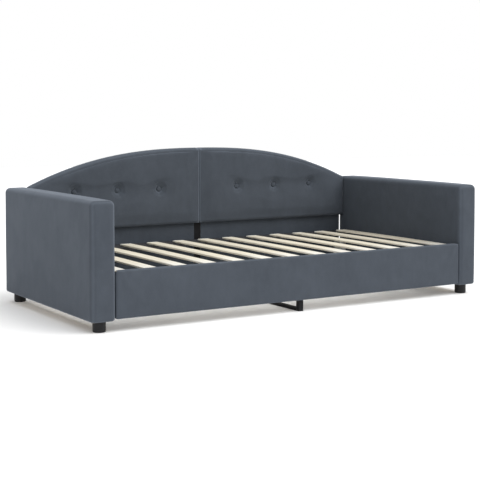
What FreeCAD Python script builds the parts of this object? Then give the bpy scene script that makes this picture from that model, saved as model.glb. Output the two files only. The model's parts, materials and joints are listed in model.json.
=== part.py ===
import FreeCAD, Part
import os

# Daybed: two padded arms, a low front rail and a tall arched back stand round a slatted base.
# Millimetres. X runs along the bed, Y from the front to the back, Z up from the floor.
# The origin is the centre of the footprint.

# --- sleeping place
mattress_length = 2000.0
mattress_width = 1000.0
mattress_end_gap = 10.0        # at each arm
mattress_side_gap = 9.0        # between the mattress and the back pads

# --- heights above the floor
foot_height = 50.0
rail_bottom = 57.0
rail_top = 276.0
slat_top = 267.0
pad_bottom = 356.0
button_height = 554.0
arm_height = 588.0
arch_end_height = 589.0        # the arch meets the arms here
arch_height = 778.0
arch_power = 2.48              # 2 is a parabola, more is fuller at the shoulders

# --- arms
arm_width = 119.0
arm_edge_radius = 25.0
arm_hem_radius = 6.0
arm_foam = 12.0
arm_inner_board = 15.0
arm_outer_board = 9.0
arm_base_board = 9.0
arm_stud_width = 30.0
arm_stud_count = 6

# --- feet
foot_diameter = 60.0
foot_inset = 57.0              # from the arm's front and rear faces
foot_socket_depth = 30.0
stud_diameter = 8.0
stud_length = 58.0
stud_play = 0.2
tee_flange_diameter = 22.0
tee_flange = 1.5
tee_barrel_wall = 1.0

# --- front rail
rail_setback = 4.0
rail_end_play = 0.5
rail_foam = 5.0
rail_hem = 4.0
rail_board = 16.0
rail_edge_radius = 9.0

# --- back
back_setback = 7.0             # behind the back, inside the arms' rear faces
back_board = 16.0
cloth = 2.0
back_end_gap = 13.0            # between a back board and its arm
seam_gap = 0.5                 # half the gap between the two halves
pad_depth = 30.0
pad_wrap = 14.0                # foam over the top of the board
pad_wrap_play = 0.3
pad_end_play = 0.3
pad_edge_radius = 7.0
dimple_radius = 34.0
dimple_depth = 16.0
button_radius = 14.0
button_thickness = 6.0
buttons_per_side = 3
tie_radius = 1.5
tie_play = 0.2
tie_washer_radius = 10.0
tie_washer = 1.0

# --- slatted base
slat_count = 13
slat_width = 65.0
slat_thickness = 9.0
slat_end_margin = 17.5         # from the arm to the nearest slat
slat_front_play = 3.0
slat_back_gap = 60.0           # from the slat ends to the back's lower cloth
slat_corner_radius = 5.0
ribbon_width = 25.0
ribbon_thickness = 1.2
ribbon_inset = 90.0

# --- ledges that carry the slats
ledge_end_play = 5.0
front_ledge_width = 35.0
front_ledge_height = 30.0
back_ledge_overlap = 28.0
back_ledge_height = 25.0

# --- centre support
leg_side = 25.0
tube_wall = 1.5
foot_plate = 3.0
floor_bar_height = 15.0
post_width = 40.0
notch_play = 1.0
joint_plate_width = 90.0
joint_plate_height = 350.0
plate = 3.0

# --- brackets and screws
bracket_leaf = 50.0
bracket_height = 100.0
bracket_bottom = 100.0
screw_radius = 2.5
screw_play = 0.2
screw_head_radius = 5.0
screw_head = 2.5
bracket_screw_length = 18.0
plate_screw_length = 14.0

# --- places worked out from the sizes above
half_inner = mattress_length / 2 + mattress_end_gap
half_length = half_inner + arm_width
rail_back_offset = rail_setback + rail_foam + rail_board
back_stack = pad_depth + back_board + cloth + back_setback
depth = rail_back_offset + mattress_width + mattress_side_gap + back_stack
front = -depth / 2
rear = depth / 2
rail_front_y = front + rail_setback
rail_back_y = front + rail_back_offset
back_rear_y = rear - back_setback
board_rear_y = back_rear_y - cloth
board_front_y = board_rear_y - back_board
pad_front_y = board_front_y - pad_depth
lower_cloth_y = board_front_y - cloth
slat_front_y = rail_back_y + slat_front_play
slat_back_y = lower_cloth_y - slat_back_gap
slat_bottom = slat_top - slat_thickness
slat_pitch = (2 * (half_inner - slat_end_margin) - slat_width) / (slat_count - 1)
button_pitch = half_inner / (buttons_per_side + 1)
post_top = pad_bottom
foot_x = half_inner + arm_width / 2
foot_ys = (front + foot_inset, rear - foot_inset)
bracket_screw_heights = (bracket_bottom + bracket_height * 0.25, bracket_bottom + bracket_height * 0.75)


def vec(x, y, z):
    return FreeCAD.Vector(x, y, z)


def box(x0, x1, y0, y1, z0, z1):
    return Part.makeBox(x1 - x0, y1 - y0, z1 - z0, vec(x0, y0, z0))


def rod(radius, start, direction, length):
    return Part.makeCylinder(radius, length, vec(*start), vec(*direction))


def mirrored(shape):
    """The same piece on the left-hand side."""
    return shape.mirror(vec(0, 0, 0), vec(1, 0, 0))


def export(name, shape):
    """Write one sub-part, a single solid or a group of separate ones."""
    shape.exportStep(os.path.join("parts", name + ".step"))


def export_pair(name, right_shape):
    """Write a right-hand piece and its mirror image."""
    export("right_" + name, right_shape)
    export("left_" + name, mirrored(right_shape))


def both_sides(shapes):
    return shapes + [mirrored(shape) for shape in shapes]


def edges_where(shape, test):
    return [edge for edge in shape.Edges if test(edge.BoundBox)]


# ---------------------------------------------------------------- arms

def arm_cavity():
    """The space inside the foam, open at the bottom."""
    return box(half_inner + arm_foam, half_length - arm_foam, front + arm_foam, rear - arm_foam,
               foot_height, arm_height - arm_foam)


def arm_screw_holes():
    """Clearance for the bracket screws that pass the foam into the inner board."""
    length = arm_foam + arm_inner_board
    ys = (rail_back_y + bracket_leaf / 2 + plate, lower_cloth_y - bracket_leaf / 2 - plate)
    return [rod(screw_radius + screw_play, (half_inner, y, z), (1, 0, 0), length)
            for y in ys for z in bracket_screw_heights]


def arm_cover():
    body = box(half_inner, half_length, front, rear, foot_height, arm_height)
    upper = edges_where(body, lambda b: b.ZMax > foot_height + 1)
    body = body.makeFillet(min(arm_edge_radius, arm_width / 2 - 1), upper)
    hem = edges_where(body, lambda b: b.ZMax < foot_height + 0.01)
    body = body.makeFillet(arm_hem_radius, hem)
    return body.cut([arm_cavity()] + arm_screw_holes())


def arm_boards():
    """Inner board, outer board and base board of the right arm."""
    cavity = arm_cavity().BoundBox
    inner = box(cavity.XMin, cavity.XMin + arm_inner_board, cavity.YMin, cavity.YMax,
                foot_height + arm_base_board, cavity.ZMax)
    outer = box(cavity.XMax - arm_outer_board, cavity.XMax, cavity.YMin, cavity.YMax,
                foot_height + arm_base_board, cavity.ZMax)
    base = box(cavity.XMin, cavity.XMax, cavity.YMin, cavity.YMax,
               foot_height, foot_height + arm_base_board)
    barrel = stud_diameter / 2 + stud_play + tee_barrel_wall
    holes = [rod(barrel, (foot_x, y, foot_height), (0, 0, 1), arm_base_board) for y in foot_ys]
    return inner.cut(arm_screw_holes()), outer, base.cut(holes)


def arm_studding():
    """Top and bottom rails and the uprights between the two boards."""
    cavity = arm_cavity().BoundBox
    x0 = cavity.XMin + arm_inner_board
    x1 = cavity.XMax - arm_outer_board
    floor = foot_height + arm_base_board
    low = box(x0, x1, cavity.YMin, cavity.YMax, floor, floor + arm_stud_width)
    wells = [rod(tee_flange_diameter / 2 + 1, (foot_x, y, floor), (0, 0, 1), arm_stud_width)
             for y in foot_ys]
    high = box(x0, x1, cavity.YMin, cavity.YMax, cavity.ZMax - arm_stud_width, cavity.ZMax)
    step = (cavity.YLength - arm_stud_width) / (arm_stud_count - 1)
    uprights = [box(x0, x1, cavity.YMin + i * step, cavity.YMin + i * step + arm_stud_width,
                    floor + arm_stud_width, cavity.ZMax - arm_stud_width)
                for i in range(arm_stud_count)]
    return Part.makeCompound([low.cut(wells), high] + uprights)


# ---------------------------------------------------------------- feet

def foot(x, y):
    body = rod(foot_diameter / 2, (x, y, 0), (0, 0, 1), foot_height)
    body = body.makeFillet(5.0, edges_where(body, lambda b: b.ZMax < 0.01))
    body = body.makeChamfer(1.5, edges_where(body, lambda b: b.ZMin > foot_height - 0.01))
    socket = rod(stud_diameter / 2 + stud_play, (x, y, foot_height - foot_socket_depth),
                 (0, 0, 1), foot_socket_depth)
    return body.cut(socket)


def foot_stud(x, y):
    return rod(stud_diameter / 2, (x, y, foot_height - foot_socket_depth), (0, 0, 1), stud_length)


def tee_nut(x, y):
    bore = stud_diameter / 2 + stud_play
    seat = foot_height + arm_base_board
    barrel = rod(bore + tee_barrel_wall, (x, y, foot_height), (0, 0, 1), arm_base_board)
    flange = rod(tee_flange_diameter / 2, (x, y, seat), (0, 0, 1), tee_flange)
    hole = rod(bore, (x, y, foot_height), (0, 0, 1), arm_base_board + tee_flange)
    return barrel.fuse(flange).removeSplitter().cut(hole)


def make_arms():
    inner, outer, base = arm_boards()
    export_pair("arm_cover", arm_cover())
    export_pair("arm_inner_board", inner)
    export_pair("arm_outer_board", outer)
    export_pair("arm_base_board", base)
    export_pair("arm_studding", arm_studding())


def make_feet():
    for side, x in (("left", -foot_x), ("right", foot_x)):
        for end, y in zip(("front", "rear"), foot_ys):
            export("foot_" + end + "_" + side, foot(x, y))
    places = [(x, y) for x in (-foot_x, foot_x) for y in foot_ys]
    export("foot_studs", Part.makeCompound([foot_stud(x, y) for x, y in places]))
    export("foot_tee_nuts", Part.makeCompound([tee_nut(x, y) for x, y in places]))


# ---------------------------------------------------------------- front rail

def rail_core():
    """The board inside the rail's cover."""
    half = half_inner - rail_end_play - rail_hem
    return box(-half, half, rail_front_y + rail_foam, rail_back_y, rail_bottom + rail_hem,
               rail_top - rail_hem)


def rail_cover():
    half = half_inner - rail_end_play
    body = box(-half, half, rail_front_y, rail_back_y, rail_bottom, rail_top)
    face_edges = edges_where(body, lambda b: b.YMax < rail_front_y + 0.01)
    return body.makeFillet(rail_edge_radius, face_edges).cut(rail_core())


def rail_screw_places():
    """Where screws enter the back of the rail's board: two corner brackets and the centre leg."""
    x = half_inner - bracket_leaf / 2 - plate
    corners = [(side * x, z) for side in (-1, 1) for z in bracket_screw_heights]
    return corners, [(0, z) for z in bracket_screw_heights]


def front_ledge():
    half = half_inner - ledge_end_play
    return box(-half, half, rail_back_y, rail_back_y + front_ledge_width,
               slat_bottom - front_ledge_height, slat_bottom)


def make_front_rail():
    corners, centre = rail_screw_places()
    hole = screw_radius + screw_play
    holes = [rod(hole, (x, rail_back_y, z), (0, -1, 0), rail_board) for x, z in corners + centre]
    export("front_rail_board", rail_core().cut(holes))
    export("front_rail_cover", rail_cover())
    export("front_ledge", front_ledge())


# ---------------------------------------------------------------- back

def arch_height_at(x, drop=0.0):
    """Height of the arched top at a distance from the centre, lowered by drop."""
    fall = (arch_height - arch_end_height) * (abs(x) / half_inner) ** arch_power
    return arch_height - drop - fall


def arched_plate(x0, x1, y0, y1, bottom, drop):
    """An upright plate with the arch's curve along its top."""
    steps = 8
    xs = [x0 + (x1 - x0) * i / steps for i in range(steps + 1)]
    top = Part.BSplineCurve()
    top.interpolate([vec(x, y0, arch_height_at(x, drop)) for x in xs])
    corners = [vec(x1, y0, arch_height_at(x1, drop)), vec(x1, y0, bottom), vec(x0, y0, bottom),
               vec(x0, y0, arch_height_at(x0, drop))]
    sides = [Part.LineSegment(a, b).toShape() for a, b in zip(corners, corners[1:])]
    outline = Part.Wire([top.toShape()] + sides)
    return Part.Face(outline).extrude(vec(0, y1 - y0, 0))


def button_places():
    return [(button_pitch * (i + 1), button_height) for i in range(buttons_per_side)]


def post_notch():
    """Room between the two halves for the centre post, below the pads."""
    half = post_width / 2 + notch_play
    return box(-half, half, lower_cloth_y - 1, back_rear_y + 1, rail_bottom - 1, post_top + notch_play)


def tie_holes():
    return [rod(tie_radius + tie_play, (x, pad_front_y, z), (0, 1, 0), back_rear_y - pad_front_y)
            for x, z in button_places()]


def back_screw_holes():
    """Holes for the joint plate's screws, right half."""
    x, heights = plate_screw_places()
    return [rod(screw_radius + screw_play, (x, back_rear_y, z), (0, -1, 0), plate_screw_length)
            for z in heights]


def bracket_holes_in_back():
    x = half_inner - bracket_leaf / 2 - plate
    return [rod(screw_radius + screw_play, (x, lower_cloth_y, z), (0, 1, 0), bracket_screw_length)
            for z in bracket_screw_heights]


def board_blank(y0, y1):
    return arched_plate(seam_gap, half_inner - back_end_gap, y0, y1, rail_bottom, pad_wrap)


def back_board_piece():
    cuts = [post_notch()] + tie_holes() + back_screw_holes() + bracket_holes_in_back()
    return board_blank(board_front_y, board_rear_y).cut(cuts)


def rear_cloth():
    cuts = [post_notch()] + tie_holes() + back_screw_holes() + bracket_holes_in_back()
    return board_blank(board_rear_y, back_rear_y).cut(cuts)


def lower_cloth():
    inner = post_width / 2 + notch_play
    skin = box(inner, half_inner - back_end_gap, lower_cloth_y, board_front_y, rail_bottom, pad_bottom)
    return skin.cut(bracket_holes_in_back())


def dimple(x, z):
    """The hollow that a button pulls into the pad."""
    bed = button_radius + 1
    return Part.makeCone(dimple_radius, bed, dimple_depth, vec(x, pad_front_y, z), vec(0, 1, 0))


def back_pad():
    block = arched_plate(seam_gap, half_inner - pad_end_play, pad_front_y, back_rear_y, pad_bottom, 0)
    face_edges = edges_where(block, lambda b: b.YMax < pad_front_y + 0.01)
    block = block.makeFillet(pad_edge_radius, face_edges)
    core = arched_plate(seam_gap - 1, half_inner - back_end_gap, board_front_y, back_rear_y + 1,
                        rail_bottom, pad_wrap - pad_wrap_play)
    cuts = [core] + [dimple(x, z) for x, z in button_places()] + tie_holes()
    return block.cut(cuts)


def button(x, z):
    back_y = pad_front_y + dimple_depth
    body = rod(button_radius, (x, back_y, z), (0, -1, 0), button_thickness)
    rim = edges_where(body, lambda b: b.YMax < back_y - button_thickness + 0.01)
    return body.makeFillet(button_thickness * 0.8, rim)


def button_tie(x, z):
    start = pad_front_y + dimple_depth
    cord = rod(tie_radius, (x, start, z), (0, 1, 0), back_rear_y - start + tie_washer)
    washer = rod(tie_washer_radius, (x, back_rear_y, z), (0, 1, 0), tie_washer)
    return cord.fuse(washer).removeSplitter()


def back_ledge():
    return box(seam_gap, half_inner - ledge_end_play, slat_back_y - back_ledge_overlap,
               lower_cloth_y, slat_bottom - back_ledge_height, slat_bottom)


def make_back():
    export_pair("back_board", back_board_piece())
    export_pair("back_pad", back_pad())
    export_pair("back_lower_cloth", lower_cloth())
    export_pair("back_rear_cloth", rear_cloth())
    export_pair("back_ledge", back_ledge())
    buttons = [button(x, z) for x, z in button_places()]
    ties = [button_tie(x, z) for x, z in button_places()]
    export("back_buttons", Part.makeCompound(both_sides(buttons)))
    export("button_ties", Part.makeCompound(both_sides(ties)))


# ---------------------------------------------------------------- brackets and screws

def angle_bracket(wall_y, inward):
    """Steel angle in the corner of the right arm; inward is +1 at the front and -1 at the back."""
    z0, z1 = bracket_bottom, bracket_bottom + bracket_height
    span = sorted((wall_y, wall_y + inward * plate))
    reach = sorted((wall_y, wall_y + inward * (bracket_leaf + plate)))
    on_wall = box(half_inner - bracket_leaf - plate, half_inner, span[0], span[1], z0, z1)
    on_arm = box(half_inner - plate, half_inner, reach[0], reach[1], z0, z1)
    hole = screw_radius + screw_play
    x = half_inner - bracket_leaf / 2 - plate
    y = wall_y + inward * (bracket_leaf / 2 + plate)
    holes = [rod(hole, (x, wall_y, z), (0, inward, 0), plate) for z in bracket_screw_heights]
    holes += [rod(hole, (half_inner, y, z), (-1, 0, 0), plate) for z in bracket_screw_heights]
    return on_wall.fuse(on_arm).removeSplitter().cut(holes)


def screw(seat, direction, length):
    """A pan head on its seat and a shank into the work; direction points into the work."""
    out = tuple(-c for c in direction)
    head = rod(screw_head_radius, seat, out, screw_head)
    shank = rod(screw_radius, seat, direction, length)
    return head.fuse(shank).removeSplitter()


def bracket_screws(wall_y, inward):
    x = half_inner - bracket_leaf / 2 - plate
    y = wall_y + inward * (bracket_leaf / 2 + plate)
    into_wall = [screw((x, wall_y + inward * plate, z), (0, -inward, 0), bracket_screw_length - 1)
                 for z in bracket_screw_heights]
    into_arm = [screw((half_inner - plate, y, z), (1, 0, 0), plate + arm_foam + arm_inner_board - 2)
                for z in bracket_screw_heights]
    return into_wall + into_arm


def plate_screw_places():
    """Distance from the centre and heights of the joint plate's screws in a back board."""
    x = joint_plate_width / 2 - 12
    low = post_top + 40
    return x, (low, post_top + joint_plate_height / 2 - 25)


def joint_plate():
    half = joint_plate_width / 2
    z0 = post_top - joint_plate_height / 2
    body = box(-half, half, back_rear_y, back_rear_y + plate, z0, z0 + joint_plate_height)
    x, heights = plate_screw_places()
    hole = screw_radius + screw_play
    holes = [rod(hole, (s * x, back_rear_y, z), (0, 1, 0), plate) for s in (-1, 1) for z in heights]
    holes += [rod(hole, (0, back_rear_y, z), (0, 1, 0), plate) for z in post_screw_heights()]
    return body.cut(holes)


def post_screw_heights():
    return post_top - 40, post_top - joint_plate_height / 2 + 25


def joint_plate_screws():
    x, heights = plate_screw_places()
    seat_y = back_rear_y + plate
    into_boards = [screw((s * x, seat_y, z), (0, -1, 0), plate_screw_length)
                   for s in (-1, 1) for z in heights]
    into_post = [screw((0, seat_y, z), (0, -1, 0), plate + tube_wall + 4) for z in post_screw_heights()]
    return into_boards + into_post


def make_brackets():
    export_pair("front_bracket", angle_bracket(rail_back_y, 1))
    export_pair("back_bracket", angle_bracket(lower_cloth_y, -1))
    right = bracket_screws(rail_back_y, 1) + bracket_screws(lower_cloth_y, -1)
    export("bracket_screws", Part.makeCompound(both_sides(right)))
    export("back_joint_plate", joint_plate())
    export("joint_plate_screws", Part.makeCompound(joint_plate_screws()))


# ---------------------------------------------------------------- centre support

def upright_tube(x_half, y0, y1, top):
    """A square tube standing on the floor on its own welded foot plate."""
    outer = box(-x_half, x_half, y0, y1, 0, top)
    bore = box(-x_half + tube_wall, x_half - tube_wall, y0 + tube_wall, y1 - tube_wall, foot_plate, top)
    return outer.cut(bore)


def leg_screw_holes():
    """Through both walls of the leg."""
    return [rod(screw_radius + screw_play, (0, rail_back_y, z), (0, 1, 0), leg_side)
            for z in bracket_screw_heights]


def centre_leg():
    tube = upright_tube(leg_side / 2, rail_back_y, rail_back_y + leg_side,
                        slat_bottom - front_ledge_height)
    return tube.cut(leg_screw_holes())


def centre_post():
    tube = upright_tube(post_width / 2, board_front_y, back_rear_y, post_top)
    holes = [rod(screw_radius + screw_play, (0, back_rear_y, z), (0, -1, 0), tube_wall)
             for z in post_screw_heights()]
    return tube.cut(holes)


def floor_bar():
    y0, y1 = rail_back_y + leg_side, board_front_y
    outer = box(-leg_side / 2, leg_side / 2, y0, y1, 0, floor_bar_height)
    bore = box(-leg_side / 2 + tube_wall, leg_side / 2 - tube_wall, y0, y1,
               tube_wall, floor_bar_height - tube_wall)
    return outer.cut(bore)


def make_centre_support():
    export("centre_leg", centre_leg())
    export("centre_post", centre_post())
    export("floor_bar", floor_bar())
    length = leg_side + rail_board - 2
    screws = [screw((0, rail_back_y + leg_side, z), (0, -1, 0), length) for z in bracket_screw_heights]
    export("leg_screws", Part.makeCompound(screws))


# ---------------------------------------------------------------- slatted base

def slat(index):
    x0 = -half_inner + slat_end_margin + index * slat_pitch
    body = box(x0, x0 + slat_width, slat_front_y, slat_back_y, slat_bottom, slat_top)
    corners = edges_where(body, lambda b: b.ZLength > slat_thickness / 2)
    return body.makeFillet(slat_corner_radius, corners)


def ribbon(centre_y):
    half = half_inner - slat_end_margin
    return box(-half, half, centre_y - ribbon_width / 2, centre_y + ribbon_width / 2,
               slat_bottom - ribbon_thickness, slat_bottom)


def make_slatted_base():
    for index in range(slat_count):
        export("slat_%02d" % (index + 1), slat(index))
    export("front_ribbon", ribbon(slat_front_y + ribbon_inset))
    export("back_ribbon", ribbon(slat_back_y - ribbon_inset))


os.makedirs("parts", exist_ok=True)
make_arms()
make_feet()
make_front_rail()
make_back()
make_brackets()
make_centre_support()
make_slatted_base()
print("length %.0f depth %.0f height %.0f" % (2 * half_length, depth, arch_height))
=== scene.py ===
"""Daybed with velvet arms, a button-tufted arched back and a lift-out slatted base."""
import json
import math
import bmesh
import bpy
import numpy as np
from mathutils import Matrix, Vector, noise


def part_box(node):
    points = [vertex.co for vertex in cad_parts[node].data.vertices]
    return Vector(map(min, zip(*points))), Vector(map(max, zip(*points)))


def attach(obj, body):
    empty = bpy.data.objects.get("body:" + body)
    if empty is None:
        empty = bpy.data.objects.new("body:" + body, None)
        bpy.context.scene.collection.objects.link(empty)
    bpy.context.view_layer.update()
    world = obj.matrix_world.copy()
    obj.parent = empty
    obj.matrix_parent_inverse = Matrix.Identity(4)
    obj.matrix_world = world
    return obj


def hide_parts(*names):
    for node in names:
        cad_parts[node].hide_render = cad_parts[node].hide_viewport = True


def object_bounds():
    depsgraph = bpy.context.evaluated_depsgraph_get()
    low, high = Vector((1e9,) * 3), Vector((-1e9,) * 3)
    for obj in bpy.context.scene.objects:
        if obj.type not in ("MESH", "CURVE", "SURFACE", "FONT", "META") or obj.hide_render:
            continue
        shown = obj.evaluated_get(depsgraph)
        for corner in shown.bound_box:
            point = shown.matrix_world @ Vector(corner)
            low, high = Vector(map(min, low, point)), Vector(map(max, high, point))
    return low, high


bl_info = {
    "name": "Tufted Daybed",
    "version": (1, 0, 0),
    "blender": (4, 5, 0),
    "location": "3D View > Sidebar > Daybed",
    "description": "Finishes a daybed round its fixed frame: velvet, tufting, slats and fittings",
    "category": "Object",
}

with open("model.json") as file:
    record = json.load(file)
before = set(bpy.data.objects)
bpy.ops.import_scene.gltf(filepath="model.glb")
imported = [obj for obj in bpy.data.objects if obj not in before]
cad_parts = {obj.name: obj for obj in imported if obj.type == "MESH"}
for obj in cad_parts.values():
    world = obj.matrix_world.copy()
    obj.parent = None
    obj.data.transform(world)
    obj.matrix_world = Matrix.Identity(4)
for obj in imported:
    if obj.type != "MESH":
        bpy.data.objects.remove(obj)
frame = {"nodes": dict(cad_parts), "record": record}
CAD_BOX = [Vector(corner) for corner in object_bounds()]
SIDES = ("left", "right")
MM = 0.001


def node_box(name):
    """Lowest and highest corners of a frame node as arrays."""
    low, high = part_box(name)
    return np.array(low), np.array(high)


def names_like(start):
    """Names of the frame nodes that begin this way."""
    return sorted(name for name in frame["nodes"] if name.startswith(start))


SLAT_NAMES = names_like("slat_")
TINY = 1e-9


def slat_pitch():
    """Distance from one slat to the next."""
    first, last = (node_box(SLAT_NAMES[i])[0][0] for i in (0, -1))
    return (last - first) / (len(SLAT_NAMES) - 1)


# -------- sizes and colours

def length(name, description, default):
    """A length that a user may change."""
    return bpy.props.FloatProperty(name=name, description=description, default=default, min=0.0,
                                   unit="LENGTH", subtype="DISTANCE", precision=4)


def colour(name, description, default):
    """A colour that a user may change."""
    return bpy.props.FloatVectorProperty(name=name, description=description, default=default,
                                         size=3, min=0.0, max=1.0, subtype="COLOR")


class DaybedSizes(bpy.types.PropertyGroup):
    """Sizes of the soft parts and the trim."""
    arm_bulge: length("Arm bulge", "How far the foam stands out in the middle of an arm's faces",
                      3 * MM)
    arm_edge: length("Arm edge", "Radius of an arm's rounded edges", 25 * MM)
    hem_edge: length("Hem edge", "Radius of the fabric's lower edge", 12 * MM)
    rail_edge: length("Rail edge", "Radius of the front rail's edges", 10 * MM)
    rail_corner: length("Rail corner",
                        "Radius of the front rail's upper corners, seen from the front", 17 * MM)
    rail_pucker: length("Rail pucker", "Height of the folds at the rail's ends", 3.8 * MM)
    pad_voxel: length("Pad grain", "Mesh size of the back pads before they are puffed", 7 * MM)
    pad_swell: length("Pad swell", "The most that a back pad's fabric may move out", 8 * MM)
    pad_roll: length("Pad roll", "Radius of a back pad's arched front edge", 24 * MM)
    pad_edge: length("Pad edge", "Radius of a back pad's outer and lower front edges", 9 * MM)
    pad_seam: length("Pad seam", "Radius of the pads' edges where they meet", 9 * MM)
    pleat: length("Button pleats", "Depth of the small folds round a button", 0.9 * MM)
    tuft_spread: length("Tuft spread", "How fast the hollow round a button dies out", 16 * MM)
    slat_bow: length("Slat bow", "Rise in the middle of a slat", 2 * MM)
    slat_edge: length("Slat edge", "Rounding along a slat", 3 * MM)
    staple_width: length("Staple width", "Width of a staple's crown", 10 * MM)
    staple_wire: length("Staple wire", "Thickness of a staple", 0.9 * MM)


class DaybedColours(bpy.types.PropertyGroup):
    """Colours that a user may change."""
    velvet: colour("Velvet", "Main colour of the fabric", (0.0485, 0.057, 0.070))
    slat: colour("Slat wood", "Main colour of the slats", (0.74, 0.685, 0.55))
    plywood: colour("Plywood", "Colour of the hidden boards", (0.37, 0.30, 0.21))
    floor: colour("Floor", "Colour of the floor", (0.96, 0.96, 0.96))


# -------- shader maths

class Value:
    """A shader socket that takes sums and products."""

    def __init__(self, paint, socket):
        self.paint = paint
        self.socket = socket

    def _math(self, operation, first, second):
        return self.paint.node("ShaderNodeMath", {"operation": operation}, {0: first, 1: second})

    def __add__(self, other):
        return self._math("ADD", self, other)

    def __radd__(self, other):
        return self._math("ADD", other, self)

    def __sub__(self, other):
        return self._math("SUBTRACT", self, other)

    def __rsub__(self, other):
        return self._math("SUBTRACT", other, self)

    def __mul__(self, other):
        return self._math("MULTIPLY", self, other)

    def __rmul__(self, other):
        return self._math("MULTIPLY", other, self)

    def __truediv__(self, other):
        return self._math("DIVIDE", self, other)


class Paint:
    """A material whose nodes are written as expressions."""

    def __init__(self, name):
        self.material = bpy.data.materials.new(name)
        self.material.use_nodes = True
        self.tree = self.material.node_tree
        self.tree.nodes.clear()
        self.shader = self.tree.nodes.new("ShaderNodeBsdfPrincipled")
        output = self.tree.nodes.new("ShaderNodeOutputMaterial")
        self.tree.links.new(self.shader.outputs[0], output.inputs[0])

    def feed(self, socket, value):
        """Link a value to a socket, or set a plain number or colour on it."""
        if isinstance(value, Value):
            self.tree.links.new(value.socket, socket)
        else:
            socket.default_value = value

    def node(self, kind, settings=None, sockets=None, output=0):
        """Add a node, set it up, feed its sockets and give back one of its outputs."""
        made = self.tree.nodes.new(kind)
        for key, setting in (settings or {}).items():
            setattr(made, key, setting)
        for key, value in (sockets or {}).items():
            self.feed(made.inputs[key], value)
        return Value(self, made.outputs[output])

    def place(self, scale=(1, 1, 1)):
        """Object coordinates, stretched."""
        spot = self.node("ShaderNodeTexCoord", output=3)
        return self.node("ShaderNodeMapping", None, {"Vector": spot, "Scale": scale})

    def axis(self, index):
        """One of the object coordinates."""
        return self.node("ShaderNodeSeparateXYZ", None, {0: self.place()}, index)

    def noise(self, scale, detail, rough, stretch=(1, 1, 1), twist=0.0, spot=None):
        """Soft noise on the object coordinates, or on a spot of its own."""
        return self.node("ShaderNodeTexNoise", None,
                         {"Vector": spot or self.place(stretch), "Scale": scale, "Detail": detail,
                          "Roughness": rough, "Distortion": twist})

    def span(self, value, low, high, out_low=0.0, out_high=1.0):
        """Stretch a range of values to another, clamped."""
        return self.node("ShaderNodeMapRange", {"clamp": True},
                         {0: value, 1: low, 2: high, 3: out_low, 4: out_high})

    def mix(self, factor, first, second):
        """Blend two colours."""
        sides = [(*c, 1.0) if isinstance(c, (tuple, list)) and len(c) == 3 else c
                 for c in (first, second)]
        return self.node("ShaderNodeMix", {"data_type": "RGBA"},
                         {0: factor, 6: sides[0], 7: sides[1]}, 2)

    def bump(self, height, strength, distance, normal=None):
        """A bumped normal, on top of another if one is given."""
        sockets = {"Strength": strength, "Distance": distance, "Height": height}
        if normal is not None:
            sockets["Normal"] = normal
        return self.node("ShaderNodeBump", None, sockets)

    def finish(self, **values):
        """Feed the surface; words in the names are joined by underscores."""
        for key, value in values.items():
            if isinstance(value, (tuple, list)) and len(value) == 3:
                value = (*value, 1.0)
            self.feed(self.shader.inputs[key.replace("_", " ")], value)
        return self.material


def tone(shade, factor):
    """A colour made lighter or darker."""
    return tuple(min(1.0, part * factor) for part in shade)


def velvet_paint(name, shade):
    """Short velvet pile: brushed patches, fine fibres, and a painted highlight along rounded edges.
    """
    paint = Paint(name)
    brushed = paint.noise(5.5, detail=4.0, rough=0.55, twist=0.6)
    patches = paint.noise(26.0, detail=3.0, rough=0.6, stretch=(1.0, 1.0, 0.55), twist=0.4)
    fibres = paint.noise(900.0, detail=2.0, rough=0.7)
    weave = paint.noise(330.0, detail=2.0, rough=0.6)
    amount = paint.span(brushed * 0.6 + patches * 0.4, 0.30, 0.70)
    base = paint.mix(amount, tone(shade, 0.86), tone(shade, 1.16))
    speck = paint.span(fibres, 0.35, 0.75, 0.0, 0.5)
    base = paint.mix(speck, base, tone(shade, 1.5))
    # Painted highlight: points on rounded edges, and more at the pads' seam, are mixed towards
    # velvet twice as light.
    edge_light = paint.node("ShaderNodeAttribute", {"attribute_name": "edge_highlight"}, None, 2)
    painted_highlight = paint.span(edge_light * (0.75 + patches * 0.5), 0.25, 2.0, 0.0, 1.0)
    base = paint.mix(painted_highlight, base, tone(shade, 2.0))
    rough = paint.span(brushed + patches * 0.5, 0.4, 1.1, 0.95, 0.80)
    soft = paint.bump(brushed, 0.25, 2.5 * MM)
    pile_normal = paint.bump(fibres * 0.6 + weave * 0.4, 0.35, 0.5 * MM, soft)
    return paint.finish(Base_Color=base, Roughness=rough, Normal=pile_normal, Sheen_Weight=0.38,
                        Sheen_Roughness=0.35, Sheen_Tint=(0.62, 0.70, 0.82), Specular_IOR_Level=0.2)


WARM_SLAT = (0.72, 0.63, 0.52)
PALE_SLAT_END = (0.80, 0.80, 0.77)


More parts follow.
